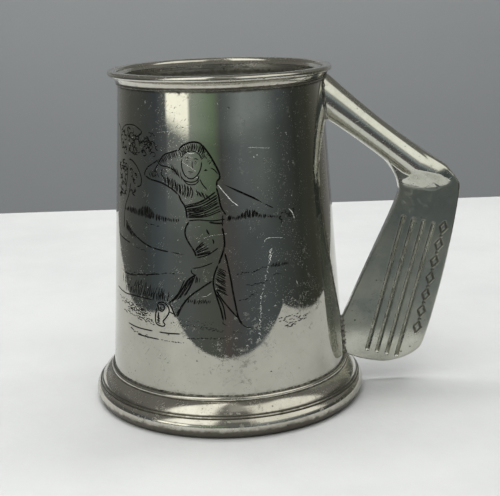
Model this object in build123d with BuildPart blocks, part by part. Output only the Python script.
"""One-pint pewter tankard whose handle is a cast golf iron.

Frame: millimetres, +Z up, origin at the centre of the foot's resting circle
on the axis of the barrel. The handle stands out along +X, its club face
looking along -Y.
"""
import os
from math import atan2, cos, degrees, radians, sin

from build123d import *

# ---- Driving dimensions ------------------------------------------------------
# whole tankard
overall_height = 125.0        # table to the top of the lip
barrel_lip_radius = 37.55     # outside of the barrel where it enters the lip
barrel_foot_radius = 44.5     # outside of the barrel where it enters the foot
barrel_wall = 1.5

# lip
lip_height = 5.4              # seam to the top of the lip
lip_projection = 3.45         # rolled nose out beyond the barrel
lip_nose_half = 1.1           # half thickness of the rolled nose
mouth_flare = 1.45            # mouth wider than the barrel's bore, each side
mouth_round = 1.2             # rounding of the mouth's inner edge
lip_bead_height = 0.8         # fine bead that ends the lip on the barrel
lip_bead_proud = 0.7          # how far the bead stands out of the barrel
spigot_height = 3.0           # reduced top of the barrel that enters the lip
spigot_thickness = 0.75

# foot
foot_height = 13.6            # table to the foot's top edge on the barrel
foot_projection = 7.25        # lower round out beyond the barrel
foot_base_inset = 2.05        # resting face's edge in from the lower round
foot_round_height = 7.3       # height of the lower round
foot_round_middle = 3.8       # height of its outermost point
foot_shoulder = 1.4           # top of the lower round, in from its outermost point
foot_quirk_width = 0.75       # narrow groove between the lower round and the band
foot_quirk_height = 0.7
foot_rest_width = 3.7         # width of the resting face
foot_ledge_width = 2.1        # ledge in from the barrel's bore
foot_ledge_thickness = 1.6
foot_ledge_height = 4.0       # ledge that carries the barrel and the bottom
foot_bead_height = 1.4        # small bead at the top of the foot
foot_bead_proud = 1.5

# bottom
bottom_thickness = 2.0
bottom_cove = 1.6             # solder cove between the bottom and the barrel

# soldered joints
solder_gap = 0.15             # film in the turned joints
seam_rise = 0.5               # solder showing above the foot's top edge
handle_gap = 0.3              # film under the handle's two ends
solder_collar = 1.1           # height and width of the lumps round those ends

# handle, hosel end
hosel_tilt = 38.2             # degrees below level
hosel_joint_drop = 6.2        # seam of the lip down to the hosel's axis
hosel_joint_radius = 6.9      # at the barrel
hosel_waist_radius = 5.75     # thinnest
hosel_waist_reach = 26.0      # from the joint to the waist, along the axis
hosel_heel_radius = 6.3       # where it becomes the heel
hosel_length = 51.5           # joint to the middle of the heel, along the axis

# handle, club head; the first two points are set off from the hosel's axis
heel_back_along = 64.1        # back of the heel, along the axis from the joint
heel_back_off = 0.65          # back of the heel, above the axis
heel_bulge = 2.0              # bow of the heel between its back and its top
crotch_along = 42.9           # inner corner, along the axis from the joint
crotch_off = 9.7              # inner corner, below the axis
crotch_height = 7.4           # inner corner down to the straight top line
toe_joint_height = 13.0       # length of the toe's edge against the barrel
toe_reach = 32.2              # barrel at the foot out to the toe's corner
toe_gap = 1.6                 # toe above the foot's lower round
toe_corner_rise = 10.3        # bottom of the toe up to its rounded corner
toe_sink = 1.0                # toe carried on into the barrel before trimming
sole_bulge = 1.2              # bow of the sole's long edge
throat_back = 17.0            # middle of the heel back to where the blade starts
face_depth = 2.8              # club face in front of the hosel's axis
top_line_thickness = 3.6      # blade at its edge on the barrel
sole_thickness = 8.2          # blade at its sole
blade_edge_fillet = 0.8

# scored lines in the face
groove_count = 4
groove_width = 1.4
groove_depth = 0.7
groove_pitch = 3.95
groove_splay = 2.6            # degrees away from the sole's long edge
groove_length = 53.5          # between the centres of its round ends
groove_rise = 4.2             # bottom of the toe up to the grooves' lower ends
groove_sole_margin = 15.8     # grooves' middle line in from the sole's edge

os.makedirs("parts", exist_ok=True)

# ---- Heights and radii that follow -------------------------------------------
lip_nose_radius = barrel_lip_radius + lip_projection
mouth_radius = barrel_lip_radius - barrel_wall + mouth_flare
foot_radius = barrel_foot_radius + foot_projection
foot_base_radius = foot_radius - foot_base_inset
lip_seam = overall_height - lip_height
barrel_base = foot_ledge_height
barrel_slope = (barrel_foot_radius - barrel_lip_radius) / (lip_seam - foot_height)
bottom_top = barrel_base + bottom_thickness
toe_bottom = foot_round_height + toe_gap


def barrel_radius(z, grow=0.0):
    """Outside radius of the barrel at height z, grown outwards by grow."""
    return barrel_foot_radius + (foot_height - z) * barrel_slope + grow


def arc_middle(start, end, bulge):
    """Point on an arc from start to end that bows to the right by bulge."""
    run, rise = end[0] - start[0], end[1] - start[1]
    length = (run ** 2 + rise ** 2) ** 0.5
    middle = ((start[0] + end[0]) / 2, (start[1] + end[1]) / 2)
    return middle[0] + bulge * rise / length, middle[1] - bulge * run / length


def finish(name, piece):
    """Label a finished piece and write it to its own file."""
    piece.part.label = name
    export_step(piece.part, f"parts/{name}.step")


# ---- Barrel: plain tapered tube with a reduced top ---------------------------
spigot_radius = barrel_radius(lip_seam) - barrel_wall + spigot_thickness
spigot_top = lip_seam + spigot_height
barrel_bore_top = barrel_lip_radius - barrel_wall

with BuildPart() as barrel:
    with BuildSketch(Plane.XZ):
        with BuildLine():
            Polyline(
                (barrel_radius(barrel_base, -barrel_wall), barrel_base),
                (barrel_radius(barrel_base), barrel_base),
                (barrel_lip_radius, lip_seam),
                (spigot_radius, lip_seam),
                (spigot_radius, spigot_top),
                (barrel_bore_top, spigot_top),
                (barrel_bore_top, lip_seam),
                close=True,
            )
        make_face()
    revolve(axis=Axis.Z)
finish("barrel", barrel)

# ---- Lip: bead, hollow flare and rolled nose, turned out of one ring ---------
socket_radius = spigot_radius + solder_gap
socket_top = spigot_top + solder_gap
lip_base = lip_seam + solder_gap
nose_middle = overall_height - lip_nose_half
nose_centre = lip_nose_radius - lip_nose_half
flare_foot = (barrel_lip_radius + 0.65 * lip_bead_proud, lip_base + lip_bead_height)
flare_head = (nose_centre + 0.2 * lip_nose_half, nose_middle - 0.95 * lip_nose_half)

with BuildPart() as lip_ring:
    with BuildSketch(Plane.XZ):
        with BuildLine():
            bead = ThreePointArc(
                (barrel_lip_radius + 0.35 * lip_bead_proud, lip_base),
                (barrel_lip_radius + lip_bead_proud, lip_base + 0.45 * lip_bead_height),
                flare_foot,
            )
            flare = ThreePointArc(bead @ 1, arc_middle(flare_foot, flare_head, -0.3), flare_head)
            nose = ThreePointArc(
                flare @ 1, (lip_nose_radius, nose_middle), (nose_centre, overall_height)
            )
            flat_top = Line(nose @ 1, (mouth_radius + mouth_round, overall_height))
            mouth = RadiusArc(
                flat_top @ 1, (mouth_radius, overall_height - mouth_round), -mouth_round
            )
            Polyline(
                mouth @ 1,
                (barrel_bore_top, socket_top),
                (socket_radius, socket_top),
                (socket_radius, lip_base),
                bead @ 0,
            )
        make_face()
    revolve(axis=Axis.Z)
finish("lip_ring", lip_ring)

# ---- Foot: lower round, quirk, sloping band and bead in one casting ----------
quirk_out = (foot_radius - foot_shoulder, foot_round_height)
quirk_in = (quirk_out[0] - foot_quirk_width, foot_round_height + foot_quirk_height)
band_top = (barrel_foot_radius + foot_bead_proud, foot_height - foot_bead_height)
foot_lip = (barrel_radius(foot_height, solder_gap + 0.3), foot_height)
foot_rest_inner = foot_base_radius - foot_rest_width
foot_bore_radius = barrel_radius(barrel_base, -barrel_wall - foot_ledge_width)
hollow_top = foot_ledge_height - foot_ledge_thickness

with BuildPart() as foot_ring:
    with BuildSketch(Plane.XZ):
        with BuildLine():
            low = ThreePointArc(
                (foot_base_radius, 0),
                (foot_radius - 0.6, 0.45 * foot_round_middle),
                (foot_radius, foot_round_middle),
            )
            high = ThreePointArc(
                low @ 1,
                (foot_radius - 0.35, (foot_round_middle + foot_round_height) / 2),
                quirk_out,
            )
            quirk = ThreePointArc(high @ 1, (quirk_in[0] + 0.1, quirk_out[1] + 0.15), quirk_in)
            band = ThreePointArc(quirk @ 1, arc_middle(quirk_in, band_top, 0.45), band_top)
            top_bead = ThreePointArc(band @ 1, arc_middle(band_top, foot_lip, 0.35), foot_lip)
            Polyline(
                top_bead @ 1,
                (barrel_radius(foot_height, solder_gap), foot_height),
                (barrel_radius(barrel_base, solder_gap), barrel_base),
                (foot_bore_radius, barrel_base),
                (foot_bore_radius, hollow_top),
                (foot_rest_inner, hollow_top),
                (foot_rest_inner, 0),
                low @ 0,
            )
        make_face()
    revolve(axis=Axis.Z)
finish("foot_ring", foot_ring)

# ---- Bottom: disc let into the barrel, resting on the foot's ledge -----------
bottom_radius = barrel_radius(bottom_top, -barrel_wall - solder_gap)

with BuildPart() as bottom_plate:
    with BuildSketch(Plane.XY.offset(barrel_base)):
        Circle(bottom_radius)
    extrude(amount=bottom_thickness)
finish("bottom_plate", bottom_plate)

# ---- Solder in the three turned joints ---------------------------------------
with BuildPart() as lip_solder:
    with BuildSketch(Plane.XZ):
        with BuildLine():
            Polyline(
                (spigot_radius, lip_seam),
                (barrel_lip_radius, lip_seam),
                (barrel_lip_radius, lip_base),
                (socket_radius, lip_base),
                (socket_radius, spigot_top),
                (spigot_radius, spigot_top),
                close=True,
            )
        make_face()
    revolve(axis=Axis.Z)
finish("lip_solder", lip_solder)

with BuildPart() as foot_solder:
    with BuildSketch(Plane.XZ):
        with BuildLine():
            Polyline(
                (barrel_radius(barrel_base), barrel_base),
                (barrel_radius(barrel_base, solder_gap), barrel_base),
                (barrel_radius(foot_height, solder_gap), foot_height),
                foot_lip,
                (barrel_radius(foot_height + seam_rise), foot_height + seam_rise),
                close=True,
            )
        make_face()
    revolve(axis=Axis.Z)
finish("foot_solder", foot_solder)

with BuildPart() as bottom_solder:
    with BuildSketch(Plane.XZ):
        with BuildLine():
            cove_top = bottom_top + bottom_cove
            cove_wall = (barrel_radius(cove_top, -barrel_wall), cove_top)
            cove_floor = (bottom_radius - bottom_cove, bottom_top)
            cove = ThreePointArc(cove_floor, arc_middle(cove_floor, cove_wall, 0.35), cove_wall)
            Polyline(
                cove @ 1,
                (barrel_radius(barrel_base, -barrel_wall), barrel_base),
                (bottom_radius, barrel_base),
                (bottom_radius, bottom_top),
                cove @ 0,
            )
        make_face()
    revolve(axis=Axis.Z)
finish("bottom_solder", bottom_solder)


# ---- Outer envelope of the turned body, for the handle's joints --------------
def body_envelope(grow):
    """Solid of revolution that holds barrel, lip and foot, grown outwards."""
    with BuildPart() as envelope:
        with BuildSketch(Plane.XZ):
            with BuildLine():
                Polyline(
                    (0, 0),
                    (foot_radius + grow, 0),
                    (foot_radius + grow, foot_round_height + grow),
                    (quirk_in[0] + 0.3 + grow, quirk_in[1] + grow),
                    (band_top[0] + 0.6 + grow, band_top[1] + 0.6 + grow),
                    (barrel_radius(foot_height + seam_rise, grow), foot_height + seam_rise + grow),
                    (barrel_radius(lip_seam - grow, grow), lip_seam - grow),
                    (barrel_lip_radius + lip_bead_proud + grow, lip_seam - grow),
                    (flare_foot[0] + 0.4 + grow, flare_foot[1]),
                    (lip_nose_radius + grow, nose_middle - lip_nose_half),
                    (lip_nose_radius + grow, overall_height),
                    (0, overall_height),
                    close=True,
                )
            make_face()
        revolve(axis=Axis.Z)
    return envelope.part


with BuildPart() as barrel_core:
    with BuildSketch(Plane.XZ):
        with BuildLine():
            Polyline(
                (0, 0),
                (barrel_radius(0), 0),
                (barrel_lip_radius, lip_seam),
                ((mouth_radius + nose_centre) / 2, overall_height),
                (0, overall_height),
                close=True,
            )
        make_face()
    revolve(axis=Axis.Z)
turned_body = [piece.part for piece in (barrel_core, lip_ring, lip_solder, foot_ring, foot_solder)]


# ---- Handle: hosel and club head in one casting ------------------------------
hosel_joint_z = lip_seam - hosel_joint_drop
hosel_joint = (barrel_radius(hosel_joint_z), hosel_joint_z)
hosel_run = (cos(radians(hosel_tilt)), -sin(radians(hosel_tilt)))
hosel_root = 8.0              # rod carried on into the barrel before trimming


def on_hosel(along, off=0.0):
    """Point in the XZ plane: along the hosel's axis, then off it, upwards."""
    return (
        hosel_joint[0] + along * hosel_run[0] - off * hosel_run[1],
        hosel_joint[1] + along * hosel_run[1] + off * hosel_run[0],
    )


hosel_plane = Plane(
    origin=(hosel_joint[0], 0, hosel_joint[1]),
    x_dir=(hosel_run[0], 0, hosel_run[1]),
    z_dir=(hosel_run[1], 0, -hosel_run[0]),
)
hosel_axis = Axis(hosel_plane.origin, hosel_plane.x_dir)


def hosel_rod(end, grow=0.0):
    """Waisted rod round the hosel's axis, as far as end, with a round tip."""
    tip_radius = hosel_heel_radius + grow
    slant = tip_radius * cos(radians(45))
    with BuildPart() as rod:
        with BuildSketch(hosel_plane):
            with BuildLine():
                side = Spline(
                    (-hosel_root, hosel_joint_radius + 0.3 + grow),
                    (0, hosel_joint_radius + grow),
                    (hosel_waist_reach, hosel_waist_radius + grow),
                    (end, tip_radius),
                )
                tip = ThreePointArc(side @ 1, (end + slant, slant), (end + tip_radius, 0))
                Polyline(tip @ 1, (-hosel_root, 0), side @ 0)
            make_face()
        revolve(axis=hosel_axis)
    return rod.part


heel_back = on_hosel(heel_back_along, heel_back_off)
heel_top = on_hosel(hosel_length + 1.5, hosel_heel_radius - 0.3)
crotch = on_hosel(crotch_along, -crotch_off)
top_line_start = (crotch[0] - 1.2, crotch[1] - crotch_height)
toe_root = (barrel_foot_radius - toe_sink, foot_height - 0.4)
toe_joint_top = foot_height + toe_joint_height
toe_inner = (barrel_radius(toe_joint_top) - toe_sink, toe_joint_top - 2.2)
toe_corner = (barrel_foot_radius + toe_reach, toe_bottom + toe_corner_rise)
toe_low = (barrel_foot_radius + 0.55 * toe_reach, toe_bottom)


def blade_outline():
    """Close the club head's outline: round the outside, then the inside."""
    outside = Spline(
        toe_root,
        arc_middle(toe_root, toe_low, 0.9),
        toe_low,
        (toe_corner[0] - 4.6, toe_bottom + 3.2),
        toe_corner,
        arc_middle(toe_corner, heel_back, sole_bulge),
        heel_back,
        arc_middle(heel_back, heel_top, heel_bulge),
        heel_top,
    )
    throat = Polyline(
        outside @ 1,
        on_hosel(hosel_length - throat_back, hosel_waist_radius - 1.2),
        on_hosel(hosel_length - throat_back, 0.6 - hosel_waist_radius),
    )
    inside = Spline(
        throat @ 1,
        crotch,
        top_line_start,
        arc_middle(top_line_start, toe_inner, 0),
        toe_inner,
    )
    Line(inside @ 1, toe_root)


# the grooves start above the toe and run nearly along the sole
sole_run, sole_rise = heel_back[0] - toe_corner[0], heel_back[1] - toe_corner[1]
groove_lean = degrees(atan2(sole_run, sole_rise)) + groove_splay
groove_middle_z = toe_bottom + groove_rise + groove_length / 2 * cos(radians(groove_lean))
sole_share = (groove_middle_z - toe_corner[1]) / sole_rise
groove_middle_x = toe_corner[0] + sole_share * sole_run + sole_bulge - groove_sole_margin

# the face is flat; the back leans away, so the blade thickens to the sole
lean = (sin(radians(groove_lean)), 0, cos(radians(groove_lean)))
across = (cos(radians(groove_lean)), 0, -sin(radians(groove_lean)))
head_section = Plane(origin=(groove_middle_x, 0, groove_middle_z), x_dir=across, z_dir=lean)
face_plane = Plane.XZ.offset(face_depth)
back_inner = top_line_thickness - face_depth
back_sole = sole_thickness - face_depth
inner_edge_offset = toe_inner[0] - groove_middle_x
behind = 30.0                 # stock cut away behind the blade


def is_free_rim(edge):
    """Tell a rim edge of the blade from one buried in the barrel or hosel."""
    middle = edge.center()
    run, rise = middle.X - hosel_joint[0], middle.Z - hosel_joint[1]
    below_axis = rise * hosel_run[0] - run * hosel_run[1]
    in_hosel = abs(below_axis) < hosel_waist_radius - 0.8 and middle.X < heel_top[0] - 1
    in_barrel = middle.X < barrel_radius(middle.Z, 2.0)
    return not in_hosel and not in_barrel


with BuildPart() as blade:
    with BuildSketch(face_plane):
        with BuildLine():
            blade_outline()
        make_face()
    extrude(amount=-2 * sole_thickness)
    with BuildSketch(head_section):
        with BuildLine():
            rise = (back_sole - back_inner) / (groove_sole_margin - inner_edge_offset)
            Polyline(
                (inner_edge_offset - behind, back_inner - behind * rise),
                (groove_sole_margin + behind, back_sole + behind * rise),
                (groove_sole_margin + behind, back_sole + behind),
                (inner_edge_offset - behind, back_sole + behind),
                close=True,
            )
        make_face()
    extrude(amount=2 * overall_height, both=True, mode=Mode.SUBTRACT)
    broad_faces = blade.faces().filter_by(lambda face: abs(face.normal_at().Y) > 0.9)
    fillet(broad_faces.edges().filter_by(is_free_rim), radius=blade_edge_fillet)

with BuildPart() as club_handle:
    add(hosel_rod(hosel_length))
    add(blade.part)
    add(body_envelope(handle_gap), mode=Mode.SUBTRACT)
    with BuildSketch(face_plane):
        with Locations(Location((groove_middle_x, groove_middle_z), 90 - groove_lean)):
            with GridLocations(1, groove_pitch, 1, groove_count):
                SlotCenterToCenter(groove_length, groove_width)
    extrude(amount=-groove_depth, mode=Mode.SUBTRACT)
finish("club_handle", club_handle)

# ---- Solder lumps that hold the handle's two ends ----------------------------
with BuildPart() as hosel_solder:
    add(hosel_rod(hosel_waist_reach + hosel_root, solder_collar))
    add(body_envelope(solder_collar), mode=Mode.INTERSECT)
    add(turned_body + [club_handle.part], mode=Mode.SUBTRACT)
finish("hosel_solder", hosel_solder)

with BuildPart() as toe_solder:
    with BuildSketch(Plane.XZ.offset(face_depth + solder_collar)):
        with BuildLine():
            Polyline(
                (toe_root[0] - 2, foot_height - foot_bead_height),
                (toe_root[0] + 3, foot_height - foot_bead_height - 0.6),
                (toe_root[0] + 3, toe_joint_top + solder_collar),
                (toe_inner[0] - 2, toe_joint_top + solder_collar),
                close=True,
            )
        make_face()
    extrude(amount=-(top_line_thickness + 0.4 + 2 * solder_collar))
    add(body_envelope(solder_collar), mode=Mode.INTERSECT)
    add(turned_body + [club_handle.part], mode=Mode.SUBTRACT)
finish("toe_solder", toe_solder)
